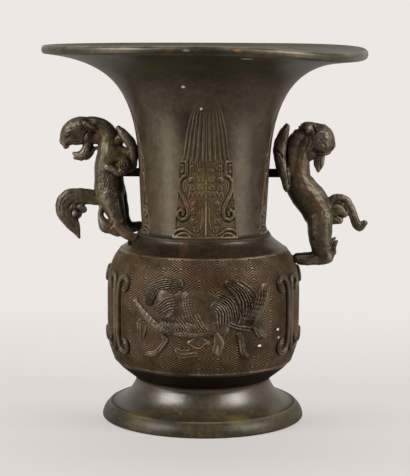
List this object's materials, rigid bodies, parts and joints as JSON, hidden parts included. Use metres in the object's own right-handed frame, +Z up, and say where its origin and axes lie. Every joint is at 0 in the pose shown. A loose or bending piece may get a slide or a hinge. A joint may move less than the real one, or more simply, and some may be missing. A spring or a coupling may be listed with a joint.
{
  "type": "bronze flower vase",
  "caption": "Squat cast bronze flower vase with a trumpet neck and wide flat mouth, a round drum body on a splayed foot, and climbing lions as handles.",
  "frame": {"origin": "centre of the standing ring, on the surface that the vase stands on", "axes": "+Z up along the vase's axis; the handles lie along X; the decorated front in the picture faces -Y"},
  "size_m": [0.206, 0.206, 0.238],
  "materials": {
    "patinated_bronze": "dark brown patina, satin",
    "lion_bronze": "dark brown patina, rubbed on the high points",
    "scroll_bronze": "dark brown patina, rubbed on the high points",
    "dark_fixing": "dull dark patina"
  },
  "bodies": {
    "root": {"foot": "patinated_bronze", "base_plate": "dark_fixing", "body": "patinated_bronze", "neck": "patinated_bronze", "left_lion": "lion_bronze", "left_tenon": "dark_fixing", "left_paw_pin_a": "dark_fixing", "left_paw_pin_b": "dark_fixing", "right_lion": "lion_bronze", "right_tenon": "dark_fixing", "right_paw_pin_a": "dark_fixing", "right_paw_pin_b": "dark_fixing", "front_left_scroll": "scroll_bronze", "front_right_scroll": "scroll_bronze", "back_left_scroll": "scroll_bronze", "back_right_scroll": "scroll_bronze"}
  },
  "joints": []
}
